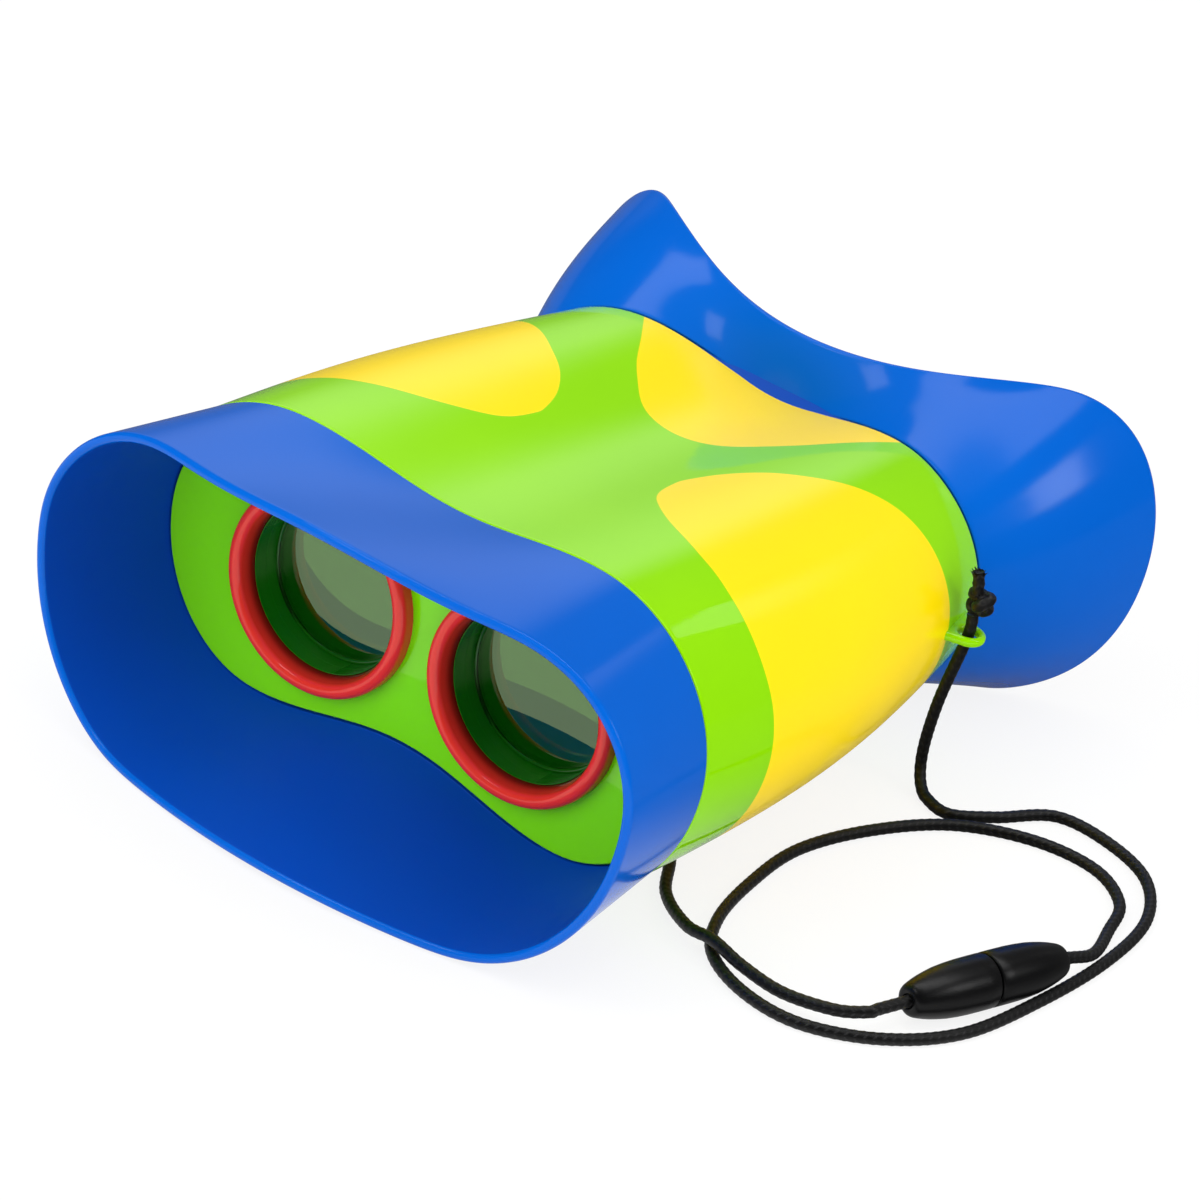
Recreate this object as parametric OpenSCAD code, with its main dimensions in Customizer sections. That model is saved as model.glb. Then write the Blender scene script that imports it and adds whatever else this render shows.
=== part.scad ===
// Toy binoculars: a flared front hood, a two-lobed body, a face-fitting eye hood and a neck cord
// with a breakaway clasp. X runs across the lenses, Y from the front rim to the eye rim, and Z up
// from the floor that the two hoods stand on. Outlines have two lobes, joined by an upper and a
// lower bridge that dips in the middle.

/* [Front hood] */
// Offset of the lobe centres from the middle at the front rim
rim_lobe = 38; // [36:0.5:40]
// Sideways reach of each round end at the front rim
rim_end = 33; // [31:0.5:36]
// Height of the front rim above its widest line
rim_top = 30; // [28:0.5:34]
// Depth of the front rim below its widest line
rim_bottom = 41.5; // [40:0.5:44]
// Rise of the front rim's upper edge in the middle
rim_crown = 3.5; // [0:0.5:5]
// Arch of the front rim's lower edge in the middle
rim_arch = 1; // [0:0.5:3]
// Distance that the sides of the front rim are swept back
rim_sweep = 10; // [4:0.5:14]
// Distance from the front rim to the body, along the top
hood_depth = 44; // [40:0.5:50]
// Distance from the front rim back to the front panel
panel_setback = 42; // [40:0.5:43]
// Wall of the two hoods
hood_wall = 2; // [1.6:0.1:2.6]

/* [Body] */
// Offset of the lobe centres at the front end of the body
front_lobe = 36.5; // [35:0.5:39]
// Sideways reach of each round end at the front end of the body
front_end = 31; // [29:0.5:33]
// Height of the front end of the body above its widest line
front_top = 31; // [29:0.5:33]
// Depth of the front end of the body below its widest line
front_bottom = 35; // [34:0.5:37]
// Dip of the upper bridge at the front end of the body
front_dip = 4.8; // [3:0.1:6]
// Height of the widest line at the front end of the body above the lens axes
front_rise = 2.3; // [1.8:0.1:4]
// Distance that the sides of the front seam come forward
front_sweep = 4; // [2:0.5:5]
// Length of the body along the top, from seam to seam
body_length = 112.5; // [104:0.5:125]
// Offset of the lobe centres at the rear end of the body
rear_lobe = 33; // [32:0.5:35]
// Sideways reach of each round end at the rear end of the body
rear_end = 26; // [25:0.5:28]
// Height of the rear end of the body above its widest line
rear_top = 24.5; // [24:0.5:27]
// Depth of the rear end of the body below its widest line
rear_bottom = 28.5; // [27:0.5:30]
// Dip of the upper bridge at the rear end of the body
rear_dip = 6.4; // [4:0.1:7]
// Depth of the widest line at the rear end of the body below the lens axes
rear_fall = 0.2; // [-1:0.1:1]
// Distance that the sides of the rear seam come forward
rear_sweep = 8; // [4:0.5:9]
// Dip of the lower bridge along the body
under_dip = 6.5; // [4:0.1:8]
// Swell of the sides half way along the body
side_swell = 5; // [0:0.5:7]
// Swell of the underside half way along the body
under_swell = 1; // [0:0.5:1.5]
// Wall of the body
body_wall = 1.8; // [1.4:0.1:2.2]

/* [Eye hood] */
// Offset of the lobe centres at the eye rim
eye_lobe = 47.5; // [46:0.5:50]
// Sideways reach of each round end at the eye rim
eye_end = 26; // [24:0.5:29]
// Height of the eye rim above its widest line
eye_top = 34; // [32:0.5:37]
// Depth of the eye rim below its widest line
eye_bottom = 38.5; // [37:0.5:41]
// Dip of the eye rim's upper edge in the middle
brow_dip = 5; // [3:0.5:7]
// Rise of the eye rim's lower edge over the nose
nose_rise = 15; // [10:0.5:18]
// Distance from the rear seam to the eye rim in the middle of the brow
brow_depth = 4; // [3:0.5:7]
// Distance that the side lobes reach back past the brow
lobe_reach = 32.5; // [28:0.5:38]
// Swell of the eye hood's sides half way to its rim
eye_swell = 2; // [0:0.5:3]

/* [Lenses] */
// Gap between the two objective rings
ring_gap = 6; // [5:0.1:9]
// Height of the lens axes
lens_height = 36.2; // [35.5:0.1:37.5]
// Thickness of the front and rear panels
panel_wall = 2.4; // [2:0.1:3]
// Reach of an objective ring over the front panel's hole
ring_cover = 2; // [1.4:0.1:2.4]
// Width of an objective ring's rounded lip
ring_lip = 3.2; // [2.6:0.1:3.6]
// Height of an objective ring above the front panel
ring_height = 3.4; // [3:0.1:5]
// Depth of an objective ring behind the front panel's face
ring_depth = 4.2; // [3.6:0.1:5]
// Radius of an objective lens
objective_radius = 19.2; // [19:0.1:19.4]
// Edge of an objective lens
objective_edge = 2; // [1.5:0.1:3]
// Radius of an objective lens's curved face
objective_curve = 95; // [80:1:140]
// Length of a lens retainer
retainer_length = 3.8; // [3:0.1:5]
// Wall of a barrel
barrel_wall = 1.8; // [1.4:0.1:2.2]
// Length of a barrel's wide front stretch
barrel_front = 14; // [12:0.5:20]
// Length of the cone behind it
barrel_cone = 16; // [10:0.5:24]
// Radius of an eyepiece lens
eyepiece_radius = 15; // [14:0.1:15.4]
// Edge of an eyepiece lens
eyepiece_edge = 4; // [3.5:0.1:5]
// Radius of an eyepiece lens's hollow faces
eyepiece_curve = 100; // [80:1:140]
// Reach of an eyepiece ring over the rear panel's hole
eye_ring_cover = 2; // [1.6:0.1:2.6]
// Height of an eyepiece ring above the rear panel
eye_ring_height = 2.6; // [2:0.1:3.5]
// Reach of an eyepiece ring over its lens
eye_ring_lap = 1.6; // [1.2:0.1:2.2]

/* [Fasteners] */
// Radius of a screw post
post_radius = 3.2; // [2.8:0.1:3.3]
// Height of the two middle posts above and below the lens axes
post_rise = 7.4; // [7:0.1:8]
// Radius of a screw's shank
screw_radius = 1.4; // [1.2:0.1:1.6]
// Length of a screw's shank in its post
screw_bite = 9; // [7:0.5:12]
// Radius of a screw's head
screw_head = 2.5; // [2.2:0.1:2.8]
// Height of a screw's head
screw_cap = 1.8; // [1.4:0.1:2.2]
// Width of a screw's cross recess
recess_width = 0.8; // [0.6:0.1:1]

/* [Strap] */
// Diameter of the cord
cord_diameter = 2.5; // [2:0.1:2.8]
// Distance from the sides of the rear seam forward to the strap lugs
lug_setback = 13; // [11:0.5:20]
// Radius of the rounded tip of a strap lug
lug_radius = 4; // [3.6:0.1:4.6]
// Thickness of a strap lug
lug_thickness = 3; // [2.4:0.1:3.6]
// Radius of a strap lug's hole
lug_hole = 2; // [1.8:0.1:2.2]
// Radius of the knot above a strap lug
knot_radius = 3.2; // [2.9:0.1:3.6]
// Height of the knot above a strap lug
knot_height = 6; // [5:0.1:7]
// Length of cord between a strap lug and its knot
knot_rise = 4; // [2:0.1:6]
// Length of the cord's tail past its knot
tail_length = 3.5; // [2:0.1:6]
// Length of one half of the clasp
clasp_half = 20.5; // [19:0.1:22]
// Radius of the clasp at its middle
clasp_radius = 5.4; // [5.2:0.1:6]
// Radius of the clasp at its ends
clasp_tip = 3; // [2.8:0.1:3.4]
// Radius of the plug's stem
stem_radius = 3.2; // [2.8:0.1:3.6]
// Length of the plug's stem
stem_length = 5.5; // [4.5:0.1:7]
// Depth of the cord's hole in the plug half
cord_socket = 9; // [7:0.1:12]

/* [Hidden] */
$fn = 96;

// Room left between fixed pieces, between the seams, and past the ends of cuts
clearance = 0.2;
seam_gap = 0.15;
overrun = 1;
// Wall of the pocket that a panel sits in, and the reach and thickness of the flange behind it
pocket_wall = 1.6;
flange_reach = 2.2;
flange_wall = 3;
// Gap between the clasp's halves, and room round its stem and its cord
clasp_gap = 0.4;
clasp_room = 0.45;
// Part of its hole in the clasp that the cord fills
stop_share = 0.9;
// Outlines of a knot and of a clasp's half, as shares of radius and length
knot_shares = [[0, 0], [0.6, 0], [1, 0.3], [1, 0.65], [0.7, 0.95], [0, 1]];
clasp_shares = [[1, 0], [0.97, 0.3], [0.85, 0.55], [0.6, 0.78], [0.25, 0.93], [0, 0.97], [-0.3, 1]];

// Colours
hood_blue = [0, 0.33, 0.8];
shell_green = [0.5, 0.8, 0.08];
ring_red = [0.93, 0.2, 0.15];
lens_clear = [0.75, 0.9, 0.8, 0.5];
steel = [0.7, 0.7, 0.72];
cord_black = [0.05, 0.05, 0.05];
clasp_black = [0.1, 0.1, 0.11];

// An outline is [lobe, end, top, bottom, top dip, bottom dip, height, place, sweep, share of the top dip]
inset_share = [0, 1, 1, 1, 0, 0, 0, 0, 0, 0];
swell = [0, side_swell, 0, under_swell, 0, 0, 0, 0, 0, 0];
eye_bulge = [0, eye_swell, 0, 0, 0, 0, 0, 0, 0, 0];
gap_step = [0, 0, 0, 0, 0, 0, 0, seam_gap, 0, 0];
// Part of an outline's half width that lies over a bridge
lobe_share = 0.55;
// How soon the hoods widen along their length
front_flare_share = 0.9;
eye_flare_share = 1.2;
// How softly an outline's upper edge dips from its lobes, and how softly the eye rim's does
dip_share = 1;
brow_share = 0.5;
// Points along each of an outline's six stretches, and rings along each skin
steps = 12;
count = 6 * steps;
hood_rings = 6;
body_rings = 8;

// Outlines with their places measured from the front rim
rear_place = hood_depth + body_length;
front_height = lens_height + front_rise;
rear_height = lens_height - rear_fall;
rim_base = [rim_lobe, rim_end, rim_top, rim_bottom, -rim_crown, rim_arch, rim_bottom, 0, rim_sweep,
    dip_share];
front_base = [front_lobe, front_end, front_top, front_bottom, front_dip, under_dip, front_height,
    hood_depth, -front_sweep, dip_share];
rear_base = [rear_lobe, rear_end, rear_top, rear_bottom, rear_dip, under_dip, rear_height,
    rear_place, -rear_sweep, dip_share];
eye_base = [eye_lobe, eye_end, eye_top, eye_bottom, brow_dip, nose_rise, eye_bottom,
    rear_place + brow_depth, lobe_reach, brow_share];
// The front rim's place, with the middle of the whole length at zero
foremost = min([for (p = front_lip(front_rings(rim_base, front_base))) p[1]]);
rearmost = max([for (p = eye_lip(eye_rings(rear_base, eye_base))) p[1]]);
front = -(foremost + rearmost) / 2;
front_step = [0, 0, 0, 0, 0, 0, 0, front, 0, 0];
front_rim = rim_base + front_step;
front_seam = front_base + front_step;
rear_seam = rear_base + front_step;
eye_rim = eye_base + front_step;

// Places along Y
panel_face = front + panel_setback;
panel_back = panel_face + panel_wall;
rear_face = front + rear_place - rear_sweep - seam_gap;
rear_back = rear_face + panel_wall;
lens_front = panel_face + ring_depth + retainer_length;
lens_back = lens_front + objective_edge;
eyepiece_back = rear_face - clearance;
eyepiece_front = eyepiece_back - eyepiece_edge;

// Insets of the hoods' spigots in the body and of the pockets that hold the panels
spigot = body_wall + clearance;
pocket = spigot + pocket_wall;
flange = pocket + flange_reach;

// Seats that the rings, lenses and barrels share
ring_seat = objective_radius + clearance * 2;
ring_radius = ring_seat + ring_cover;
lens_spacing = ring_radius * 2 + ring_gap;
barrel_radius = ring_seat + barrel_wall;
light_bore = objective_radius - barrel_wall;
ring_bore = light_bore + clearance;
eyepiece_seat = eyepiece_radius + clearance;
eye_ring_radius = eyepiece_seat + eye_ring_cover;
eye_ring_bore = eyepiece_radius - eye_ring_lap;
eyepiece_tube = eyepiece_seat + barrel_wall;
ear_reach = eye_ring_radius + screw_head + clearance;
ear_place = lens_spacing / 2 + ear_reach;
screw_places = [[0, lens_height + post_rise], [0, lens_height - post_rise],
    [-ear_place, lens_height], [ear_place, lens_height]];

// The strap lugs stand on the body's widest line
lug_place = front + rear_place - rear_sweep - lug_setback;
lug_share = (lug_place - front - hood_depth + front_sweep) / (body_length - rear_sweep + front_sweep);
lug_outline = body_at(lug_share);
lug_wall = lug_outline[0] + lug_outline[1];
lug_reach = lug_wall + lug_hole + cord_diameter / 2;
lug_height = height_of(lug_outline);

// The neck cord: places on the floor are chosen by hand, and its ends follow the lugs and the clasp
cord_radius = cord_diameter / 2;
cord_sides = 8;
rings_per_span = 2;
clasp_place = [114.5, -18.8, clasp_radius];
clasp_angle = 73;
clasp_axis = [cos(clasp_angle), sin(clasp_angle), 0];
clasp_pull = stem_length + clasp_gap;
knot_base = lug_height + lug_thickness / 2 + knot_rise;
socket_end = clasp_place - clasp_axis * (clasp_half + clasp_gap / 2);
plug_end = clasp_place + clasp_axis * (clasp_half + clasp_gap / 2);
cord_stop = clasp_axis * cord_socket * stop_share;
right_floor = [[66, 35.5], [73, 33.5], [80, 40.5], [88, 51.5], [101, 51.5], [113, 45.5], [121, 32], [123.5, 12.5],
    [122.5, -10], [119, -31.5], [110, -46], [97, -54.5], [84, -54.5], [72.5, -48.5], [66, -37.5], [62.5, -21.5],
    [61.5, -3.5], [66.5, 14.5], [76, 30.5], [90, 39.5], [104, 40.5], [114, 33.5], [118, 22.5]];
left_floor = [[54, -38], [45, -24.5], [30, -15.5], [4, -7.5], [-24, 1.5], [-46, 12.5], [-60, 25.5]];
right_fall = [[62.5, 38.5, 20], [61.5, 39.5, 6]];
right_rise = [[121.5, 10.5, 3]];
left_cross = [[100.5, -49.5, 4.2], [90, -51, 3], [80, -50, 3.2], [72, -48.5, 4.1], [64.5, -46.5, 2.8]];
left_rise = [[-64, 36.5, 8]];
right_route = concat(
    [[lug_reach, lug_place, knot_base], [lug_reach, lug_place, lug_height]], right_fall,
    [for (p = right_floor) on_floor(p)], right_rise, [plug_end, plug_end - cord_stop]);
left_route = concat(
    [socket_end + cord_stop, socket_end, socket_end - clasp_axis * clasp_pull,
        socket_end - clasp_axis * (clasp_pull + cord_diameter)], left_cross,
    [for (p = left_floor) on_floor(p)], left_rise,
    [[-lug_reach, lug_place, lug_height], [-lug_reach, lug_place, knot_base]]);

function blend(a, b, k) = a + (b - a) * k;
function turn(j) = 90 * (j % steps) / steps;
function across(j) = 1 - 2 * (j % steps) / steps;

// One point of an outline: stretch 0 is the upper right end, and they run on over the top
function outline_point(s, j) =
    let (stretch = floor(j / steps), a = turn(j), w = across(j), sink = pow(cos(90 * w), 2))
    stretch == 0 ? [s[0] + s[1] * cos(a), s[2] * sin(a)] :
    stretch == 1 ? [s[0] * w, s[2] - s[4] * pow(sink, s[9])] :
    stretch == 2 ? [-s[0] - s[1] * sin(a), s[2] * cos(a)] :
    stretch == 3 ? [-s[0] - s[1] * cos(a), -s[3] * sin(a)] :
    stretch == 4 ? [-s[0] * w, s[5] * sink - s[3]] :
    [s[0] + s[1] * sin(a), -s[3] * cos(a)];

// How far out a point lies, from 0 in the middle to 1 at the sides, and its share of the sweep
function side_share(j) =
    let (stretch = floor(j / steps), a = turn(j))
    stretch == 1 || stretch == 4 ? lobe_share * abs(across(j)) :
    lobe_share + (1 - lobe_share) * (stretch % 3 == 0 ? cos(a) : sin(a));
function sweep_share(j) = (1 - cos(180 * side_share(j))) / 2;

function inset(s, d) = s - d * inset_share;
function height_of(s) = s[6];
function place(s, j) = s[7] + s[8] * sweep_share(j);
function skin_point(s, j) =
    let (p = outline_point(s, j)) [p[0], place(s, j), height_of(s) + p[1]];
function ring(s) = [for (j = [0:count - 1]) skin_point(s, j)];

// The body's outline at a share k of the way from the front seam to the rear seam
function body_at(k) = blend(front_seam, rear_seam, k) + sin(180 * k) * swell;
// A hood's outline, with its own flare and an even run along Y
function hood_at(a, b, k, flare) =
    [for (i = [0:len(a) - 1]) blend(a[i], b[i], i < 7 ? pow(k, flare) : k)];
function front_rings(rim, seam) =
    [for (i = [0:hood_rings]) ring(hood_at(rim, seam - gap_step, i / hood_rings, front_flare_share))];
function eye_rings(seam, rim) =
    [for (i = [0:hood_rings])
        let (k = i / hood_rings)
        ring(hood_at(seam + gap_step, rim, k, eye_flare_share) + sin(180 * k) * eye_bulge)];

// A flat ring at y, inset by d from the body's skin
function level_point(y, d, j) =
    let (k = (y - place(front_seam, j)) / (place(rear_seam, j) - place(front_seam, j)))
    let (s = body_at(k), p = outline_point(inset(s, d), j))
    [p[0], y, height_of(s) + p[1]];
function level_ring(y, d) = [for (j = [0:count - 1]) level_point(y, d, j)];

// A ring one wall inside a skin, square to it; a is the ring before it and b the ring after it
function inner_ring(a, r, b, wall) =
    [for (j = [0:count - 1])
        let (n = cross(r[(j + 1) % count] - r[(j + count - 1) % count], b[j] - a[j]))
        r[j] + wall * n / norm(n)];

// The inner edges of the two rims
function front_lip(r) = inner_ring(r[0], r[0], r[1], hood_wall);
function eye_lip(r) = inner_ring(r[hood_rings - 1], r[hood_rings], r[hood_rings], hood_wall);

// A closed skin over rings that follow each other round, the last joined to the first
module skin(rings) {
    last = len(rings);
    polyhedron(
        points = [for (r = rings) each r],
        faces = [for (i = [0:last - 1], j = [0:count - 1])
            let (a = i * count, b = (i + 1) % last * count, n = (j + 1) % count)
            each [[a + j, a + n, b + n], [a + j, b + n, b + j]]],
        convexity = 10);
}

// A plate from y back to y + thick, with the outline of a level ring
module plate(y, thick, d) {
    outline = [for (p = level_ring(y + thick / 2, d)) [p[0], p[2]]];
    translate([0, y + thick, 0])
        rotate([90, 0, 0])
            linear_extrude(thick)
                polygon(outline);
}

// A round bar along Y from one place to another
module bar(x, z, from, to, radius) {
    translate([x, from, z])
        rotate([-90, 0, 0])
            cylinder(h = to - from, r = radius);
}

// A turned piece round a lens axis; its profile has radii in X and places along Y
module turned(side) {
    translate([side * lens_spacing / 2, 0, lens_height])
        rotate([-90, 0, 0])
            rotate_extrude()
                children();
}

module front_hood() {
    outer = front_rings(front_rim, front_seam);
    inner = [for (i = [hood_rings - 2:-1:1]) inner_ring(outer[i - 1], outer[i], outer[i + 1], hood_wall)];
    step = ring(inset(front_seam - gap_step, spigot));
    back = panel_back + flange_wall;
    color(hood_blue)
        skin(concat(outer, [step, level_ring(back, spigot), level_ring(back, flange),
            level_ring(panel_back, flange), level_ring(panel_back, pocket), level_ring(panel_face, pocket)],
            inner, [front_lip(outer)]));
}

module eye_hood() {
    outer = eye_rings(rear_seam, eye_rim);
    inner = [for (i = [hood_rings - 1:-1:2]) inner_ring(outer[i - 1], outer[i], outer[i + 1], hood_wall)];
    step = ring(inset(rear_seam + gap_step, spigot));
    tip = rear_face - flange_wall;
    color(hood_blue)
        skin(concat([level_ring(tip, spigot), step], outer, [eye_lip(outer)], inner,
            [level_ring(rear_back, pocket), level_ring(rear_face, pocket), level_ring(rear_face, flange),
            level_ring(tip, flange)]));
}

// One strap lug, with its root in the body wall
module lug(side) {
    root = lug_reach - lug_wall + body_wall / 2;
    translate([side * lug_reach, lug_place, lug_height - lug_thickness / 2])
        difference() {
            union() {
                cylinder(h = lug_thickness, r = lug_radius);
                translate([-side * root / 2, 0, lug_thickness / 2])
                    cube([root, lug_radius * 2, lug_thickness], center = true);
            }
            translate([0, 0, -overrun])
                cylinder(h = lug_thickness + overrun * 2, r = lug_hole);
        }
}

module body_shell() {
    outer = [for (i = [0:body_rings]) ring(body_at(i / body_rings))];
    inner = [for (i = [body_rings:-1:0]) ring(inset(body_at(i / body_rings), body_wall))];
    color(shell_green) {
        skin(concat(outer, inner));
        lug(-1);
        lug(1);
    }
}

module front_panel() {
    color(shell_green)
        difference() {
            union() {
                plate(panel_face, panel_wall, pocket + clearance);
                for (side = [-1, 1])
                    bar(0, lens_height + side * post_rise, panel_back - overrun, rear_face, post_radius);
            }
            for (side = [-1, 1]) {
                bar(side * lens_spacing / 2, lens_height, panel_face - overrun, panel_back + overrun, ring_seat);
                bar(0, lens_height + side * post_rise, rear_face - screw_bite - overrun, rear_face + overrun,
                    screw_radius);
            }
        }
}

module rear_panel() {
    color(shell_green)
        difference() {
            plate(rear_face, panel_wall, pocket + clearance);
            for (side = [-1, 1])
                bar(side * lens_spacing / 2, lens_height, rear_face - overrun, rear_back + overrun, eyepiece_seat);
            for (p = screw_places)
                bar(p[0], p[1], rear_face - overrun, rear_back + overrun, screw_radius);
        }
}

module objective_ring(side) {
    color(ring_red)
        turned(side) {
            translate([ring_radius - ring_lip / 2, panel_face - ring_height + ring_lip / 2])
                circle(d = ring_lip);
            translate([ring_radius - ring_lip, panel_face - ring_height + ring_lip / 2])
                square([ring_lip, ring_height - ring_lip / 2]);
            translate([ring_bore, panel_face - ring_height + ring_lip / 2])
                square([ring_seat - clearance - ring_bore, ring_height - ring_lip / 2 + ring_depth]);
        }
}

module lens_retainer(side) {
    color(shell_green)
        turned(side)
            translate([light_bore, panel_face + ring_depth])
                square([ring_seat - clearance - light_bore, retainer_length]);
}

module objective_lens(side) {
    crown = light_bore - clearance;
    drop = sqrt(pow(objective_curve, 2) - pow(crown, 2));
    color(lens_clear)
        translate([side * lens_spacing / 2, 0, lens_height]) {
            bar(0, 0, lens_front, lens_back, objective_radius);
            intersection() {
                translate([0, lens_back - drop, 0])
                    sphere(r = objective_curve, $fn = 200);
                bar(0, 0, lens_front, lens_back + retainer_length, crown);
            }
        }
}

module barrel(side) {
    taper = panel_back + barrel_front;
    neck = taper + barrel_cone;
    ear = rear_face - screw_bite - overrun * 2;
    color(shell_green)
        difference() {
            union() {
                turned(side)
                    polygon([[ring_seat, panel_back], [barrel_radius, panel_back], [barrel_radius, taper],
                        [eyepiece_tube, neck], [eyepiece_tube, rear_face], [eyepiece_seat, rear_face],
                        [eyepiece_seat, eyepiece_front], [eye_ring_bore, eyepiece_front],
                        [eye_ring_bore, eyepiece_front - barrel_wall],
                        [eyepiece_seat, eyepiece_front - barrel_wall], [eyepiece_seat, neck],
                        [light_bore, taper], [light_bore, lens_back], [ring_seat, lens_back]]);
                difference() {
                    union() {
                        bar(side * ear_place, lens_height, ear, rear_face, post_radius);
                        translate([side * (ear_place - ear_reach / 2), (ear + rear_face) / 2, lens_height])
                            cube([ear_reach, rear_face - ear, post_radius], center = true);
                    }
                    bar(side * lens_spacing / 2, lens_height, ear - overrun, rear_face + overrun,
                        eyepiece_tube - barrel_wall / 2);
                }
            }
            bar(side * ear_place, lens_height, rear_face - screw_bite - overrun, rear_face + overrun,
                screw_radius);
        }
}

module eyepiece_lens(side) {
    color(lens_clear)
        translate([side * lens_spacing / 2, 0, lens_height])
            difference() {
                bar(0, 0, eyepiece_front, eyepiece_back, eyepiece_radius);
                translate([0, eyepiece_front + eyepiece_edge / 4 - eyepiece_curve, 0])
                    sphere(r = eyepiece_curve, $fn = 200);
                translate([0, eyepiece_back - eyepiece_edge / 4 + eyepiece_curve, 0])
                    sphere(r = eyepiece_curve, $fn = 200);
            }
}

module eyepiece_ring(side) {
    lip = eye_ring_radius - eye_ring_bore;
    color(ring_red)
        turned(side) {
            translate([eye_ring_bore, eyepiece_back])
                square([eyepiece_radius - eye_ring_bore, rear_back - eyepiece_back]);
            intersection() {
                translate([eye_ring_bore + lip / 2, rear_back])
                    circle(r = eye_ring_height);
                translate([eye_ring_bore, rear_back])
                    square([lip, eye_ring_height]);
            }
        }
}

module panel_screw(p) {
    color(steel)
        difference() {
            union() {
                bar(p[0], p[1], rear_face - screw_bite, rear_back, screw_radius);
                bar(p[0], p[1], rear_back, rear_back + screw_cap, screw_head);
            }
            for (arm = [[recess_width, screw_cap, screw_head], [screw_head, screw_cap, recess_width]])
                translate([p[0], rear_back + screw_cap, p[1]])
                    cube(arm, center = true);
        }
}

function on_floor(p) = [p[0], p[1], cord_radius];
function above_floor(p) = [p[0], p[1], max(p[2], cord_radius)];
function route_at(p, i) = p[max(0, min(len(p) - 1, i))];
function span_point(p, i, u) =
    let (a = route_at(p, i - 1), b = p[i], c = p[i + 1], d = route_at(p, i + 2))
    (2 * b + (c - a) * u + (2 * a - 5 * b + 4 * c - d) * u * u + (3 * b - a - 3 * c + d) * u * u * u) / 2;
function path(p) = concat(
    [for (i = [0:len(p) - 2], r = [0:rings_per_span - 1])
        above_floor(span_point(p, i, r / rings_per_span))],
    [p[len(p) - 1]]);
function unit(v) = v / norm(v);
function tangent(p, i) = unit(route_at(p, i + 1) - route_at(p, i - 1));
function side_step(n, t) = unit(n - (n * t) * t);
function normals(p, i, n) =
    let (m = side_step(n, tangent(p, i)))
    i == len(p) - 1 ? [m] : concat([m], normals(p, i + 1, m));

// A round tube along a route, closed at both ends
module cord(route) {
    p = path(route);
    n = normals(p, 0, [cos(clasp_angle + 90), sin(clasp_angle + 90), 0]);
    last = len(p) - 1;
    polyhedron(
        points = [for (i = [0:last], k = [0:cord_sides - 1])
            let (a = 360 * k / cord_sides, t = tangent(p, i))
            p[i] + cord_radius * (cos(a) * n[i] + sin(a) * cross(t, n[i]))],
        faces = concat(
            [[for (k = [0:cord_sides - 1]) k], [for (k = [cord_sides - 1:-1:0]) last * cord_sides + k]],
            [for (i = [0:last - 1], k = [0:cord_sides - 1])
                let (a = i * cord_sides, b = a + cord_sides, m = (k + 1) % cord_sides)
                each [[a + k, b + m, a + m], [a + k, b + k, b + m]]]),
        convexity = 10);
}

module strap_cord_right() {
    color(cord_black)
        cord(right_route);
}

module strap_cord_left() {
    color(cord_black)
        cord(left_route);
}

// A pulled-tight overhand knot with a short tail
module lug_knot(side) {
    outline = [for (p = knot_shares) [p[0] * knot_radius, p[1] * knot_height]];
    color(cord_black)
        translate([side * lug_reach, lug_place, knot_base]) {
            rotate_extrude()
                polygon(outline);
            translate([0, 0, knot_height - cord_radius])
                cylinder(h = tail_length + cord_radius, r = cord_radius);
        }
}

// A half of the clasp lies along its own Y, from its inner face to its end
module clasp_turned() {
    rotate([-90, 0, 0])
        rotate_extrude()
            children();
}
module clasp_barrel(bore) {
    difference() {
        clasp_turned()
            polygon(concat([[0, 0]], [for (p = clasp_shares)
                [blend(clasp_tip, clasp_radius, p[0]), p[1] * clasp_half]], [[0, clasp_half]]));
        bar(0, 0, -overrun, clasp_half + overrun, bore);
    }
}

module clasp_socket() {
    color(clasp_black)
        translate(clasp_place)
            rotate([0, 0, clasp_angle + 90])
                translate([0, clasp_gap / 2, 0])
                    difference() {
                        clasp_barrel(cord_radius + clasp_room);
                        bar(0, 0, -overrun, stem_length + clasp_room, stem_radius + clasp_room);
                    }
}

module clasp_plug() {
    color(clasp_black)
        translate(clasp_place)
            rotate([0, 0, clasp_angle - 90])
                translate([0, clasp_gap / 2, 0])
                    difference() {
                        union() {
                            clasp_barrel(cord_radius);
                            bar(0, 0, -stem_length - clasp_gap / 2, clasp_half - cord_socket, stem_radius);
                        }
                        bar(0, 0, clasp_half - cord_socket, clasp_half + overrun, cord_radius + clasp_room);
                    }
}

front_hood();
front_panel();
body_shell();
rear_panel();
eye_hood();
objective_ring(-1);  // objective_ring_left
objective_ring(1);  // objective_ring_right
lens_retainer(-1);  // lens_retainer_left
lens_retainer(1);  // lens_retainer_right
objective_lens(-1);  // objective_lens_left
objective_lens(1);  // objective_lens_right
barrel(-1);  // barrel_left
barrel(1);  // barrel_right
eyepiece_lens(-1);  // eyepiece_lens_left
eyepiece_lens(1);  // eyepiece_lens_right
eyepiece_ring(-1);  // eyepiece_ring_left
eyepiece_ring(1);  // eyepiece_ring_right
panel_screw(screw_places[0]);  // panel_screw_top
panel_screw(screw_places[1]);  // panel_screw_bottom
panel_screw(screw_places[2]);  // panel_screw_left
panel_screw(screw_places[3]);  // panel_screw_right
strap_cord_right();
strap_cord_left();
lug_knot(1);  // lug_knot_right
lug_knot(-1);  // lug_knot_left
clasp_socket();
clasp_plug();
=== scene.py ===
import math

import bpy
import numpy as np
from mathutils import Matrix, Vector


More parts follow.
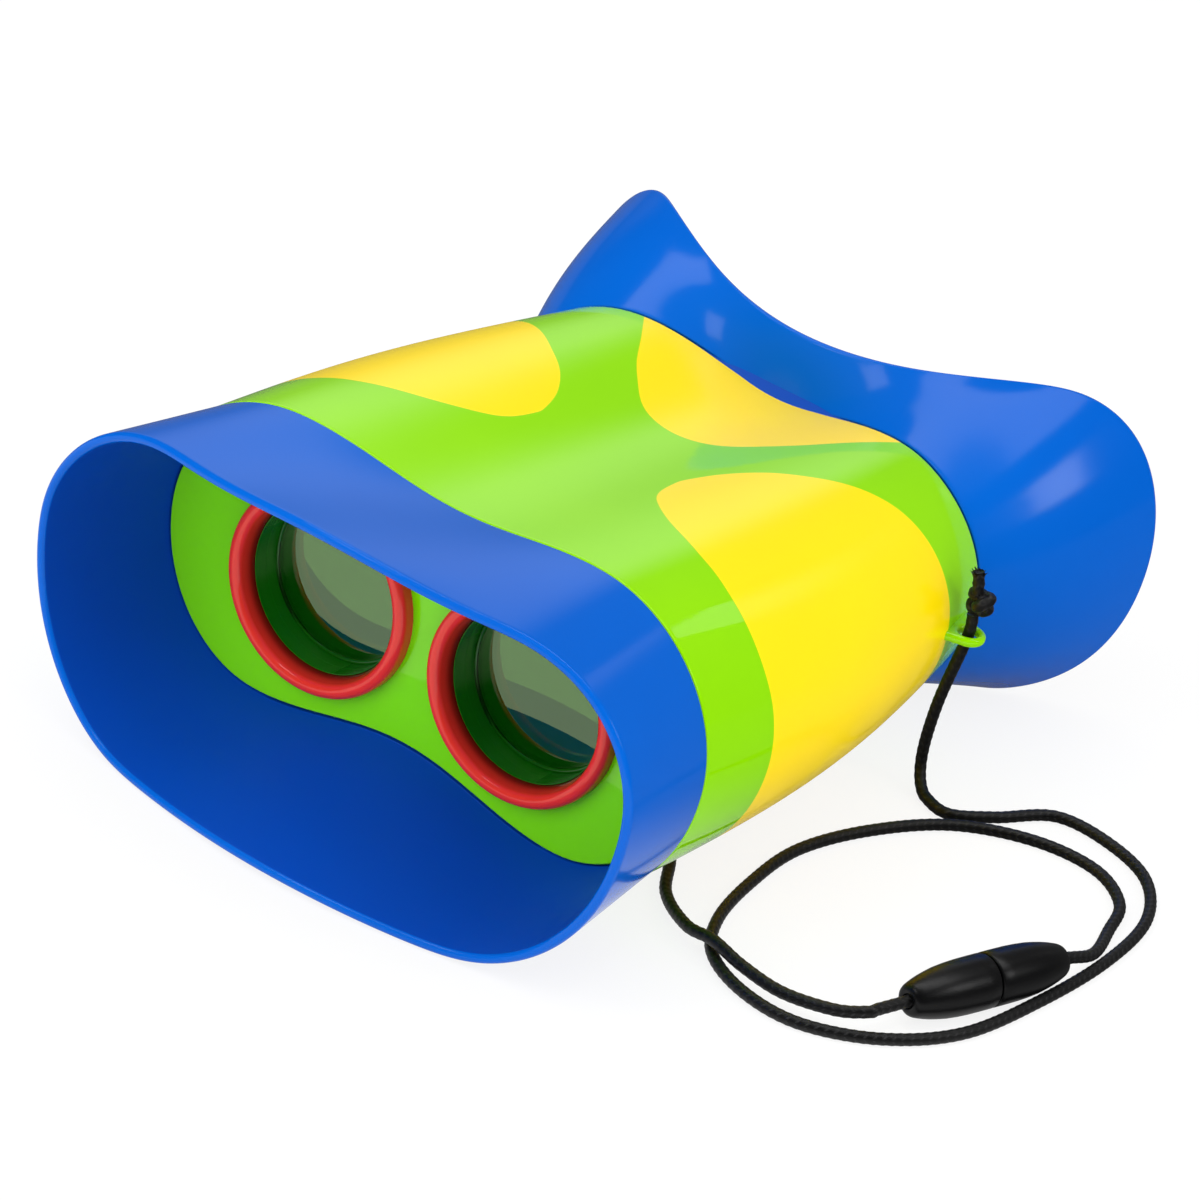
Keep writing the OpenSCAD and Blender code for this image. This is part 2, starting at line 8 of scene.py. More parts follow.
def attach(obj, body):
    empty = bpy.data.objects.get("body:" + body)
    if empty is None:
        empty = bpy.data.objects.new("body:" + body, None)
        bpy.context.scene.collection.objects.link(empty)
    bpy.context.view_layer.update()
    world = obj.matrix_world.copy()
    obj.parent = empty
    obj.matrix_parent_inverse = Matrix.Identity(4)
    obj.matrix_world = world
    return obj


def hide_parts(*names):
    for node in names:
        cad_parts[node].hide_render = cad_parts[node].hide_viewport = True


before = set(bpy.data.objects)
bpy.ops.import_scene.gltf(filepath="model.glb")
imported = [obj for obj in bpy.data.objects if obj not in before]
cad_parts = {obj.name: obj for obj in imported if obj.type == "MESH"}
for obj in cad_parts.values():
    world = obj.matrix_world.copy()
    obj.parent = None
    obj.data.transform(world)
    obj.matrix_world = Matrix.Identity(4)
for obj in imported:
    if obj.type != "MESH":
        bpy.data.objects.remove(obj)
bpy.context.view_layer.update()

# Lengths are in millimetres, and meshes are made in metres
MM = 0.001
BODY = "binoculars"
CLASP_HALF = "clasp_half"
SIDES = {"left": -1, "right": 1}

# Angles in degrees past which an edge shows as a crease
SHARP_SHELL = 50
SHARP_TURNED = 35
SHARP_PLATE = 30
SHARP_CLASP = 60

# Camera: azimuth, elevation and roll in degrees
CAMERA_TURN = 30.49, 28.32, 11.96
CAMERA_PLACE = 489.6, -824.79, 544.7
CAMERA_LENS = 165
CAMERA_SENSOR = 36


# Shells

def section(lobe=0, end=0, top=0, bottom=0, top_dip=0, bottom_dip=0, height=0, place=0, sweep=0, dip_power=0):
    """An outline across the length, as numbers that can be added and blended.

    Two lobes stand to the sides by lobe and reach out by end, up by top and down by bottom. Between
    them the outline dips. Its middle is at height and place, and its sides sweep along the length.
    """
    return np.array([lobe, end, top, bottom, top_dip, bottom_dip, height, place, sweep, dip_power], float)


FRONT = -96.49
FRONT_SEAM_REACH = 44
REAR_SEAM_REACH = 156.5
EYE_RIM_REACH = 160.5
FRONT_RIM = section(lobe=38, end=33, top=30, bottom=41.5, top_dip=-3.5, bottom_dip=1,
                    height=41.5, place=FRONT, sweep=10, dip_power=1)
FRONT_SEAM = section(lobe=36.5, end=31, top=31, bottom=35, top_dip=4.8, bottom_dip=6.5,
                     height=38.5, place=FRONT + FRONT_SEAM_REACH, sweep=-4, dip_power=1)
REAR_SEAM = section(lobe=33, end=26, top=24.5, bottom=28.5, top_dip=6.4, bottom_dip=6.5,
                    height=36, place=FRONT + REAR_SEAM_REACH, sweep=-8, dip_power=1)
EYE_RIM = section(lobe=47.5, end=26, top=34, bottom=38.5, top_dip=5, bottom_dip=15,
                  height=38.5, place=FRONT + EYE_RIM_REACH, sweep=32.5, dip_power=0.5)
BODY_SWELL = section(end=5, bottom=1)
EYE_SWELL = section(end=2, top=1.5)
NO_SWELL = section()
INSET = section(end=1, top=1, bottom=1)
SEAM_CLEARANCE = 0.15
SEAM_GAP = section(place=SEAM_CLEARANCE)
EYE_SEAM_GAPS = 3
LOBE_SHARE = 0.55
OUTLINE_SMOOTHING = 4
HOOD_WALL = 2
BODY_WALL = 1.8
POCKET = 3.6
EDGE = 0.35
SEAM_SEAT = 2.6
FLOOR_TUCK = 1.5
AROUND = 288
HOOD_DRAWN = 90
HOOD_ROWS = 72
WALL_ROWS = 60
BODY_DRAWN = 140
BODY_ROWS = 150
LEVEL_ROWS = 24
LIP_STEPS = 13
EDGE_STEPS = 5
FLOOR_EASE = 0.5

# Colour blocks, as distance round the body from the middle of its top and place along it
DROP_FRONT = [(17.4, -4), (18.6, -11), (22, -16.5), (30, -23.8), (40, -29.5), (47, -32), (54, -34), (65, -35.8),
              (76, -36), (88, -36)]
DROP_REAR = [(17.7, 0), (20.6, 8), (25.8, 15.5), (32.5, 21.4), (39.3, 27), (45.7, 31), (51, 33.2), (57, 34.6),
             (63, 35.3), (69, 35.6), (76, 35.8), (88, 36)]
TONGUE = [(0, 21.4), (6, 22.4), (11, 25.2), (16.5, 31), (21.8, 37.5), (27.5, 46.5), (34, 56.5), (40, 66)]
TONGUE_END = 0, 90
DROP_MIDDLE = 88

# Panels and lenses
LENS_SPACING = 49.2
LENS_HEIGHT = 36.2
PANEL_REACH = 42
PANEL_FACE = FRONT + PANEL_REACH
PANEL_WALL = 2.4
PANEL_GAP = 0.5
PANEL_EDGE = 0.3
REAR_PANEL_DEPTH = 8
REAR_FACE = FRONT + REAR_SEAM_REACH - REAR_PANEL_DEPTH - SEAM_CLEARANCE
REAR_BACK = REAR_FACE + PANEL_WALL
TURNED_SIDES = 128
AXIS_RADIUS = 0.01
RING_SEAT = 19.6
RING_RADIUS = 21.6
RING_LIP = 3.2
RING_HEIGHT = 3.4
RING_DEPTH = 4.2
RING_BORE = 17.6
RING_ROOM = 0.2
RING_POINTS = 24
RING_THROAT = [(18.1, -0.9), (17.85, 0), (17.68, 1.2), (RING_BORE, 2.6)]
THROAT_RADIUS = 18.6
THROAT_START = 3
SHADE_START = 2.2
SHADE_LENGTH = 3
LENS_DEPTH = 8
LENS_THICKNESS = 2
LENS_FRONT = PANEL_FACE + LENS_DEPTH
LENS_BACK = LENS_FRONT + LENS_THICKNESS
LENS_RADIUS = 19.2
LENS_CROWN = 17.2
LENS_FACE = 18.9
LENS_CHAMFER = 0.3
LENS_CURVE = 1500
LENS_DISH = 900
LENS_ROWS = 24
LENS_FRONT_TILT = 0.05, 0.038
LENS_BACK_TILT = 0.05, 0.026
SLEEVE_INNER = 17.44
SLEEVE_OUTER = 17.58
SLEEVE_FRONT = PANEL_FACE + 0.8
SLEEVE_BACK = LENS_FRONT - 0.9
BEAD_MIDDLE = 17.1, LENS_FRONT - 0.55
BEAD_RADIUS = 0.5
BEAD_TURN = 337
BEAD_POINTS = 16
EYEPIECE_SEAT = 15.2
EYE_RING_BORE = 13.4
EYE_RING_RADIUS = 17.2
EYE_RING_NECK = 15
EYE_RING_STEP = 0.6
EYE_RING_RISE = 2.0
SCREW_EDGE = 0.15

# Strap lugs, neck cord and clasp
CORD_RADIUS = 1.25
CORD_STEP = 0.3
ROUTE_POINTS = 40
BRAID_ASIDE = 0.3, 0.2, 1
STRAND_LEVEL = 0.7
STRAND_CROSSING = 0.3
LUG_X = 65.1
LUG_Y = 39.01
LUG_Z = 36.3
LUG_RADIUS = 3.6
LUG_HOLE = 2
LUG_THICKNESS = 2
LUG_LIFT = 0.5
LUG_EDGE = 0.85
LUG_TIP_TURN = 1.45
LUG_TIP_POINTS = 40
LUG_ROOT = [(0.6, 4.05), (1.6, 4.25), (2.6, 4.7), (3.5, 5.5), (4.2, 6.7), (6, 7.5)]
KNOT_BASE = 41.8
KNOT_HEIGHT = 6
KNOT_SIZE = 0.82
KNOT_DEPTH = 1.35
KNOT_FLATTEN = 0.78
KNOT_FACING = 0.8, 0.6
KNOT_SHIFT = 0.8, 0.4
KNOT_STRAND = 1.32
KNOT_POINTS = 200
KNOT_BRAID = {"sides": 20, "lift": 0.24, "pitch": 4.0}
LEFT_KNOT_DROP = 3
LEFT_CORD_DROP = 2
TAIL_STRAND = 1.3
TAIL_POINTS = 24
TAIL_ROOT = 0.55
TAIL_LENGTH = 6.2
TAIL_LEAN = 0.8
TAIL_FORWARD = 0.6
LEFT_TAIL_ROOT = 0.5
LEFT_TAIL_LENGTH = 4.4
LEFT_TAIL_SAG = 1.6
FIBRES = 80
FIBRE_ROWS = 5
FIBRE_CORNERS = 0, 2.1, 4.2
FIBRE_RADIUS = 0.16
FIBRE_TAPER = 0.08
FIBRE_SHORTEST = 0.3
FIBRE_LONGEST = 1.1
FIBRE_CURL = 0.16
FRAY_SEED = 7
FRAY_RADIUS = 1.15
FRAY_ROOT = 0.8
FRAY_SPREAD = 0.55
CLASP_ANGLE = math.radians(73)
CLASP_AXIS = np.array([math.cos(CLASP_ANGLE), math.sin(CLASP_ANGLE), 0])
CLASP_PLACE = np.array([114.5, -18.8, 5.4])
CLASP_HALF_LENGTH = 20.5
CLASP_GAP = 0.4
CLASP_PULL = 5.9
CLASP_SIDES = 96
CLASP_SKIN = [(5.0, 0), (5.25, 0.08), (5.4, 0.35), (5.4, 3), (5.37, 6), (5.26, 8.5), (5.04, 11), (4.72, 13),
              (4.36, 14.8), (3.98, 16.3), (3.64, 17.4), (3.36, 18.2), (3.08, 18.7), (2.7, 19.05), (2.2, 19.25)]
CLASP_CORD_HOLE = [(1.7, 19.25), (1.46, 19.12), (1.34, 18.8), (1.32, 14)]
STEM_RADIUS = 3.2
STEM_REACH = 5.7
STEM_CHAMFER = 0.4
STEM_BORE = 3.65
STEM_BORE_DEPTH = 5.95
STEM_BORE_CHAMFER = 0.25

# Routes of the cord: on the floor as X and Y, elsewhere as X, Y and Z
RIGHT_FALL = [(62.5, 38.5, 20), (61.5, 39.5, 6)]
RIGHT_FLOOR = [(66, 35.5), (73, 33.5), (80, 40.5), (88, 51.5), (101, 51.5), (113, 45.5), (121, 32), (123.5, 12.5),
               (122.5, -10), (119, -31.5), (110, -46), (97, -54.5), (84, -54.5), (72.5, -48.5), (66, -37.5),
               (62.5, -21.5), (61.5, -3.5), (66.5, 14.5), (76, 30.5), (90, 39.5), (104, 40.5), (114, 33.5),
               (118, 22.5)]
RIGHT_RISE = [(121.5, 10.5, 3)]
LEFT_CROSS = [(100.5, -49.5, 4.2), (90, -51, 3), (80, -50, 3.2), (72, -48.5, 4.1), (64.5, -46.5, 2.8)]
LEFT_FLOOR = [(54, -38), (45, -24.5), (30, -15.5), (4, -7.5), (-24, 1.5), (-46, 12.5), (-60, 25.5)]
LEFT_RISE = [(-64, 36.5, 8)]
CORD_IN_CLASP = 8.1
CORD_STOP = CLASP_AXIS * CORD_IN_CLASP
SOCKET_END = CLASP_PLACE - CLASP_AXIS * (CLASP_HALF_LENGTH + CLASP_GAP / 2)
PLUG_END = CLASP_PLACE + CLASP_AXIS * (CLASP_HALF_LENGTH + CLASP_GAP / 2)
RIGHT_ROUTE = ([(LUG_X, LUG_Y, KNOT_BASE), (LUG_X, LUG_Y, LUG_Z)] + RIGHT_FALL
               + [(x, y, CORD_RADIUS) for x, y in RIGHT_FLOOR] + RIGHT_RISE
               + [tuple(PLUG_END), tuple(PLUG_END - CORD_STOP)])
LEFT_ROUTE = ([tuple(SOCKET_END + CORD_STOP), tuple(SOCKET_END), tuple(SOCKET_END - CLASP_AXIS * CLASP_PULL),
               tuple(SOCKET_END - CLASP_AXIS * (CLASP_PULL + 2 * CORD_RADIUS))] + LEFT_CROSS
              + [(x, y, CORD_RADIUS) for x, y in LEFT_FLOOR] + LEFT_RISE
              + [(-LUG_X, LUG_Y, LUG_Z), (-LUG_X, LUG_Y, KNOT_BASE - LEFT_CORD_DROP)])


# Camera

def add_camera():
    """The camera stands where the photograph was taken."""
    azimuth, elevation, roll = np.radians(CAMERA_TURN)
    back = Vector((math.sin(azimuth) * math.cos(elevation), -math.cos(azimuth) * math.cos(elevation),
                   math.sin(elevation)))
    level = Vector((0, 0, 1)).cross(back).normalized()
    rise = back.cross(level)
    right = math.cos(roll) * level + math.sin(roll) * rise
    up = back.cross(right)
    data = bpy.data.cameras.new("studio_camera")
    data.sensor_fit = "HORIZONTAL"
    data.sensor_width = CAMERA_SENSOR
    data.lens = CAMERA_LENS
    data.clip_start = 0.05
    data.clip_end = 50
    camera = bpy.data.objects.new("studio_camera", data)
    spot = Vector(CAMERA_PLACE) * MM
    camera.matrix_world = Matrix.Translation(spot) @ Matrix((right, up, back)).transposed().to_4x4()
    bpy.context.scene.collection.objects.link(camera)
    bpy.context.scene.camera = camera


# Meshes

def unit(vectors):
    return vectors / np.maximum(np.linalg.norm(vectors, axis=-1, keepdims=True), 1e-9)


def distances(path):
    """How far along a path each of its points is."""
    return np.concatenate([[0], np.cumsum(np.linalg.norm(np.diff(path, axis=0), axis=1))])


def curve_on(a, b, c, d, count):
    """Points from b on towards c, on a smooth curve through a, b, c and d."""
    return [(2 * b + (c - a) * u + (2 * a - 5 * b + 4 * c - d) * u * u + (3 * b - a - 3 * c + d) * u ** 3) / 2
            for u in np.arange(count) / count]


def place_mesh(name, mesh, sharp=None):
    """A smooth piece, with creases where its faces turn by more than sharp degrees."""
    mesh.shade_smooth()
    if sharp:
        mesh.set_sharp_from_angle(angle=math.radians(sharp))
    piece = bpy.data.objects.new(name, mesh)
    bpy.context.scene.collection.objects.link(piece)
    return piece


def add_mesh(name, points, faces, sharp=None):
    mesh = bpy.data.meshes.new(name)
    mesh.from_pydata((np.asarray(points) * MM).tolist(), [], faces)
    mesh.update()
    return place_mesh(name, mesh, sharp)


def add_values(piece, name, values):
    """One number for each point of a piece, for its finish."""
    attribute = piece.data.attributes.new(name, "FLOAT", "POINT")
    attribute.data.foreach_set("value", np.asarray(values).astype(np.float32).ravel())


def grid_faces(rows, columns, wrap_rows=False):
    """Quads over a grid that closes on itself across its columns."""
    faces = []
    for i in range(rows if wrap_rows else rows - 1):
        a = i * columns
        b = (i + 1) % rows * columns
        for j in range(columns):
            n = (j + 1) % columns
            faces.append((a + j, a + n, b + n, b + j))
    return faces


def turned(name, profile, x=0, z=0, sides=TURNED_SIDES, closed=True, sharp=SHARP_TURNED, flip=False):
    """A piece turned round an axis along Y. Its profile is rows of radius and place."""
    angle = np.linspace(0, 2 * math.pi, sides, endpoint=False)
    rows = [np.stack([x + r * np.cos(angle), np.full(sides, y), z + r * np.sin(angle)], 1) for r, y in profile]
    faces = grid_faces(len(rows), sides, closed)
    return add_mesh(name, np.concatenate(rows), [f[::-1] for f in faces] if flip else faces, sharp)


def arc(centre, radius, start, end, count):
    """Points on an arc in a profile, in degrees."""
    return [(centre[0] + radius * math.cos(math.radians(a)), centre[1] + radius * math.sin(math.radians(a)))
            for a in np.linspace(start, end, count)]


def circle(x, y, radius, count=96):
    angle = np.linspace(0, 2 * math.pi, count, endpoint=False)
    return np.stack([x + radius * np.cos(angle), y + radius * np.sin(angle)], 1)


def plate(name, loops, thickness, place, edge):
    """A flat plate with rounded edges, from an outline and its holes."""
    curve = bpy.data.curves.new(name, "CURVE")
    curve.dimensions = "2D"
    curve.fill_mode = "BOTH"
    curve.extrude = (thickness / 2 - edge) * MM
    curve.bevel_depth = edge * MM
    curve.bevel_resolution = 3
    curve.offset = -edge * MM
    for loop in loops:
        spline = curve.splines.new("POLY")
        spline.points.add(len(loop) - 1)
        flat = np.column_stack([np.array(loop) * MM, np.zeros(len(loop)), np.ones(len(loop))])
        spline.points.foreach_set("co", flat.ravel())
        spline.use_cyclic_u = True
    drawn = bpy.data.objects.new(name, curve)
    bpy.context.scene.collection.objects.link(drawn)
    mesh = bpy.data.meshes.new_from_object(drawn.evaluated_get(bpy.context.evaluated_depsgraph_get()))
    bpy.data.objects.remove(drawn)
    mesh.transform(place)
    return place_mesh(name, mesh, SHARP_PLATE)


def finish_piece(piece, node, finish, body=BODY):
    """Dresses a piece, which stands for a CAD node if one is named."""
    for each in finish if isinstance(finish, tuple) else (finish,):
        piece.data.materials.append(each.material)
    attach(piece, body)
    if node:
        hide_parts(node)
    return piece


def dress(node, finish, edge=None):
    """A CAD node that is shown as it is, with its own finish and, if asked for, softened edges."""
    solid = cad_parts[node]
    solid.data.materials.clear()
    solid.data.materials.append(finish.material)
    if edge:
        bevel = solid.modifiers.new("edge", "BEVEL")
        bevel.width = edge * MM
        bevel.segments = 2
        bevel.limit_method = "ANGLE"


# Hoods and body

TURN = np.arange(AROUND) * 6 / AROUND


def smooth_round(points, reach):
    """Evens out a closed row of points so that its bends run into each other."""
    step = np.arange(-3 * reach, 3 * reach + 1)
    weight = np.exp(-0.5 * (step / reach) ** 2)
    return sum(w * np.roll(points, s, 0) for w, s in zip(weight / weight.sum(), step))


def outline(shape):
    """A section's closed row of points, in six stretches: 0 is the upper right end, and they run on over the top."""
    lobe, end, top, bottom, top_dip, bottom_dip, height, place, sweep, dip_power = shape
    stretch = np.floor(TURN).astype(int)
    share = TURN - stretch
    c, n = np.cos(share * math.pi / 2), np.sin(share * math.pi / 2)
    w = 1 - 2 * share
    sink = np.cos(math.pi / 2 * w) ** 2
    case = [stretch == i for i in range(6)]
    x = np.select(case, [lobe + end * c, lobe * w, -lobe - end * n, -lobe - end * c, -lobe * w, lobe + end * n])
    z = np.select(case, [top * n, top - top_dip * sink ** dip_power, top * c,
                         -bottom * n, bottom_dip * sink - bottom, -bottom * c])
    side = np.where(case[1] | case[4], LOBE_SHARE * abs(w),
                    LOBE_SHARE + (1 - LOBE_SHARE) * np.where(stretch % 3 == 0, c, n))
    y = place + sweep * (1 - np.cos(math.pi * side)) / 2
    return smooth_round(np.stack([x, y, z + height], 1), OUTLINE_SMOOTHING)


def between(first, last, share, swell):
    """The section a share of the way from one to another, swelling midway."""
    return first + (last - first) * share + math.sin(math.pi * share) * swell


def level_row(y, inset):
    """A flat row at y, inset from the body's skin."""
    ahead, behind = outline(FRONT_SEAM)[:, 1], outline(REAR_SEAM)[:, 1]
    share = (y - ahead) / (behind - ahead)
    low, high = share.min(), share.max()
    steps = np.linspace(low, high, LEVEL_ROWS)
    rows = np.stack([outline(between(FRONT_SEAM, REAR_SEAM, k, BODY_SWELL) - inset * INSET) for k in steps])
    spot = (share - low) / (high - low) * (len(steps) - 1)
    first = np.clip(np.floor(spot).astype(int), 0, len(steps) - 2)
    part = (spot - first)[:, None]
    column = np.arange(AROUND)
    row = rows[first, column] * (1 - part) + rows[first + 1, column] * part
    row[:, 1] = y
    return row


def even_rows(grid, trim_first, trim_last, count):
    """The same skin with rows evenly spaced along each column, cut back at both ends."""
    rows = np.empty((count, AROUND, 3))
    for j in range(AROUND):
        length = distances(grid[:, j])
        along = np.linspace(trim_first, length[-1] - trim_last, count)
        for axis in range(3):
            rows[:, j, axis] = np.interp(along, length, grid[:, j, axis])
    return rows


def outward(grid):
    """Unit normals of a skin, pointing out of it."""
    across = np.roll(grid, -1, 1) - np.roll(grid, 1, 1)
    along = np.gradient(grid, axis=0)
    normal = unit(np.cross(across, along))
    apart = grid - grid.mean(1, keepdims=True)
    return normal if (normal * apart).sum() > 0 else -normal


def round_edge(row, normal, along, radius):
    """Rows that turn from the end of a skin over a rounded edge to its end face."""
    centre = row - normal * radius
    return [centre + radius * (math.cos(a) * normal + math.sin(a) * along)
            for a in np.linspace(0, math.pi / 2, EDGE_STEPS)[1:]]


def hood(name, seam, rim, swell, panel):
    """A flared hood: its outer skin from the seam to the rim, a round lip, and its inner wall down to a panel."""
    raw = np.stack([outline(between(seam, rim, k, swell)) for k in np.linspace(0, 1, HOOD_DRAWN)])
    skin = even_rows(raw, EDGE, HOOD_WALL / 2, HOOD_ROWS)
    normal = outward(skin)
    start = unit(skin[0] - skin[1])
    end = unit(skin[-1] - skin[-2])
    seat = skin[0] + start * EDGE - normal[0] * SEAM_SEAT
    rows = [seat] + round_edge(skin[0], normal[0], start, EDGE)[::-1] + list(skin)
    lip = skin[-1] - normal[-1] * HOOD_WALL / 2
    rows += [lip + HOOD_WALL / 2 * (math.cos(a) * normal[-1] + math.sin(a) * end)
             for a in np.linspace(0, math.pi, LIP_STEPS)[1:-1]]
    outer = len(rows) - 1
    wall = (skin - normal * HOOD_WALL)[::-1]
    floor = level_row(panel, POCKET)
    past = np.sign(panel - wall[0, :, 1].mean())
    for v in np.linspace(0, 1, WALL_ROWS):
        spot = v * (len(wall) - 1)
        first = min(int(spot), len(wall) - 2)
        row = wall[first] * (1 - spot + first) + wall[first + 1] * (spot - first)
        ease = np.clip((v - FLOOR_EASE) / (1 - FLOOR_EASE), 0, 1)
        ease = ease * ease * (3 - 2 * ease)
        rows.append(row * (1 - ease) + floor * ease)
    rows.append(floor + np.array([0, past * FLOOR_TUCK, 0]))
    piece = add_mesh(name, np.concatenate(rows), grid_faces(len(rows), AROUND), SHARP_SHELL)
    # The inner wall takes the second finish, a darker blue of painted shade
    for face in piece.data.polygons[outer * AROUND:]:
        face.material_index = 1
    return piece


def loop_through(points, per_span=12):
    """A smooth closed loop through points."""
    p = np.array(points, float)
    loop = []
    for i in range(len(p)):
        loop += curve_on(*(p[(i + k) % len(p)] for k in (-1, 0, 1, 2)), per_span)
    return np.array(loop)


def inside_by(loop, spots):
    """How far spots lie inside a loop; outside it the value is below zero."""
    best = np.full(len(spots), 1e9)
    within = np.zeros(len(spots), bool)
    for p, q in zip(loop, np.roll(loop, -1, 0)):
        edge = q - p
        share = np.clip(((spots - p) @ edge) / max(edge @ edge, 1e-9), 0, 1)
        best = np.minimum(best, np.linalg.norm(spots - p - share[:, None] * edge, axis=1))
        crosses = (p[1] > spots[:, 1]) != (q[1] > spots[:, 1])
        if p[1] != q[1]:
            within ^= crosses & (spots[:, 0] < p[0] + (spots[:, 1] - p[1]) * (q[0] - p[0]) / (q[1] - p[1]))
    return np.where(within, best, -best)


def colour_blocks(rows):
    """Distance inside the yellow blocks at each point of the body's rows."""
    step = np.linalg.norm(np.roll(rows, -1, 1) - rows, axis=2)
    reach = np.concatenate([np.zeros((len(rows), 1)), np.cumsum(step, 1)[:, :-1]], 1)
    whole = step.sum(1, keepdims=True)
    top_middle = AROUND // 4
    around = (reach - reach[:, [top_middle]] + whole / 2) % whole - whole / 2
    spots = np.stack([abs(around).ravel(), rows[..., 1].ravel()], 1)
    far_front = [(2 * DROP_MIDDLE - g, y) for g, y in DROP_FRONT[-2::-1]]
    far_rear = [(2 * DROP_MIDDLE - g, y) for g, y in DROP_REAR[:-1]]
    drop = loop_through(DROP_FRONT + far_front + far_rear + DROP_REAR[::-1])
    tongue = loop_through(TONGUE + [TONGUE_END] + [(-g, y) for g, y in TONGUE[:0:-1]])
    return np.maximum(inside_by(drop, spots), inside_by(tongue, spots))


def body_piece():
    """The body's skin with both of its rounded ends turned in."""
    raw = np.stack([outline(between(FRONT_SEAM, REAR_SEAM, k, BODY_SWELL)) for k in np.linspace(0, 1, BODY_DRAWN)])
    skin = even_rows(raw, EDGE, EDGE, BODY_ROWS)
    normal = outward(skin)
    ahead = round_edge(skin[0], normal[0], unit(skin[0] - skin[1]), EDGE)
    behind = round_edge(skin[-1], normal[-1], unit(skin[-1] - skin[-2]), EDGE)
    rows = [ahead[-1] - normal[0] * BODY_WALL] + ahead[::-1] + list(skin)
    rows += behind + [behind[-1] - normal[-1] * BODY_WALL]
    piece = add_mesh("body_shell_skin", np.concatenate(rows), grid_faces(len(rows), AROUND), SHARP_SHELL)
    add_values(piece, "colour_block", colour_blocks(np.stack(rows)))
    return piece


def strap_lug(side, sign):
    """A flat lug with a round tip and its hole, and a root that widens into the body."""
    tip = [(LUG_X + LUG_RADIUS * math.cos(a), LUG_RADIUS * math.sin(a))
           for a in np.linspace(-LUG_TIP_TURN, LUG_TIP_TURN, LUG_TIP_POINTS)]
    root = [(LUG_X - inward, y) for inward, y in LUG_ROOT]
    rim = [(x, -y) for x, y in root[::-1]] + tip + root
    rim = np.array([(x * sign, LUG_Y + y) for x, y in rim])
    place = Matrix.Translation((0, 0, (LUG_Z + LUG_LIFT) * MM))
    loops = [rim, circle(LUG_X * sign, LUG_Y, LUG_HOLE)]
    return plate("strap_lug_" + side + "_tab", loops, LUG_THICKNESS, place, LUG_EDGE)


# Neck cord and clasp

def smooth_path(route):
    """Evenly spaced points on a smooth curve through a route, no lower than the floor allows."""
    p = np.array(route, float)
    fine = []
    for i in range(len(p) - 1):
        fine += curve_on(p[max(i - 1, 0)], p[i], p[i + 1], p[min(i + 2, len(p) - 1)], ROUTE_POINTS)
    fine = np.array(fine + [p[-1]])
    fine[:, 2] = np.maximum(fine[:, 2], CORD_RADIUS)
    length = distances(fine)
    along = np.linspace(0, length[-1], int(length[-1] / CORD_STEP) + 1)
    return np.stack([np.interp(along, length, fine[:, i]) for i in range(3)], 1)


def braided(name, path, radius, sides=24, lift=0.1, pitch=3.6, strands=8):
    """A round braid along a path: two sets of strands wind opposite ways and cross over and under."""
    tangent = unit(np.gradient(path, axis=0))
    normal = np.empty_like(path)
    n = unit(np.cross(tangent[0], BRAID_ASIDE))
    for i, t in enumerate(tangent):
        n = unit(n - (n @ t) * t)
        normal[i] = n
    side = np.cross(tangent, normal)
    along = distances(path)
    angle = np.linspace(0, 2 * math.pi, sides, endpoint=False)
    s, a = np.meshgrid(along * 2 * math.pi / pitch, angle, indexing="ij")
    one, two = strands / 4 * a + s, strands / 4 * a - s
    weave = np.sin(one + two)
    height = np.maximum(np.cos(one) ** 2 * (STRAND_LEVEL + STRAND_CROSSING * weave),
                        np.cos(two) ** 2 * (STRAND_LEVEL - STRAND_CROSSING * weave))
    girth = radius - lift + lift * height
    points = path[:, None] + girth[..., None] * (np.cos(angle)[None, :, None] * normal[:, None]
                                                 + np.sin(angle)[None, :, None] * side[:, None])
    count = len(path)
    faces = [f[::-1] for f in grid_faces(count, sides)]
    faces += [tuple(range(sides))[::-1], tuple((count - 1) * sides + j for j in range(sides))]
    piece = add_mesh(name, points.reshape(-1, 3), faces)
    add_values(piece, "braid_height", height)
    return piece, along[-1]


def knot_base(x):
    """The left knot is pulled down onto its lug."""
    return KNOT_BASE if x > 0 else KNOT_BASE - LEFT_KNOT_DROP


def knot_path(x):
    """A tight overhand knot, its loops gathered above the strap lug."""
    t = np.linspace(0, 2 * math.pi, KNOT_POINTS)
    across = KNOT_SIZE * (np.sin(t) + 2 * np.sin(2 * t))
    rise = KNOT_FLATTEN * KNOT_SIZE * (np.cos(t) - 2 * np.cos(2 * t))
    out = -KNOT_DEPTH * np.sin(3 * t)
    cos, sin = KNOT_FACING
    return np.stack([x + across * cos + out * sin + KNOT_SHIFT[0], LUG_Y - across * sin + out * cos + KNOT_SHIFT[1],
                     knot_base(x) + KNOT_HEIGHT / 2 + rise], 1)


def tail_path(x):
    """The cord's short end: it stands up from the right knot and lies to the side of the left one."""
    run = np.linspace(0, 1, TAIL_POINTS)
    y = LUG_Y - TAIL_FORWARD * run
    if x < 0:
        return np.stack([x - LEFT_TAIL_LENGTH * run, y,
                         knot_base(x) + KNOT_HEIGHT * LEFT_TAIL_ROOT - LEFT_TAIL_SAG * run ** 2], 1)
    return np.stack([x - TAIL_LEAN * run ** 2, y, knot_base(x) + KNOT_HEIGHT * TAIL_ROOT + TAIL_LENGTH * run], 1)


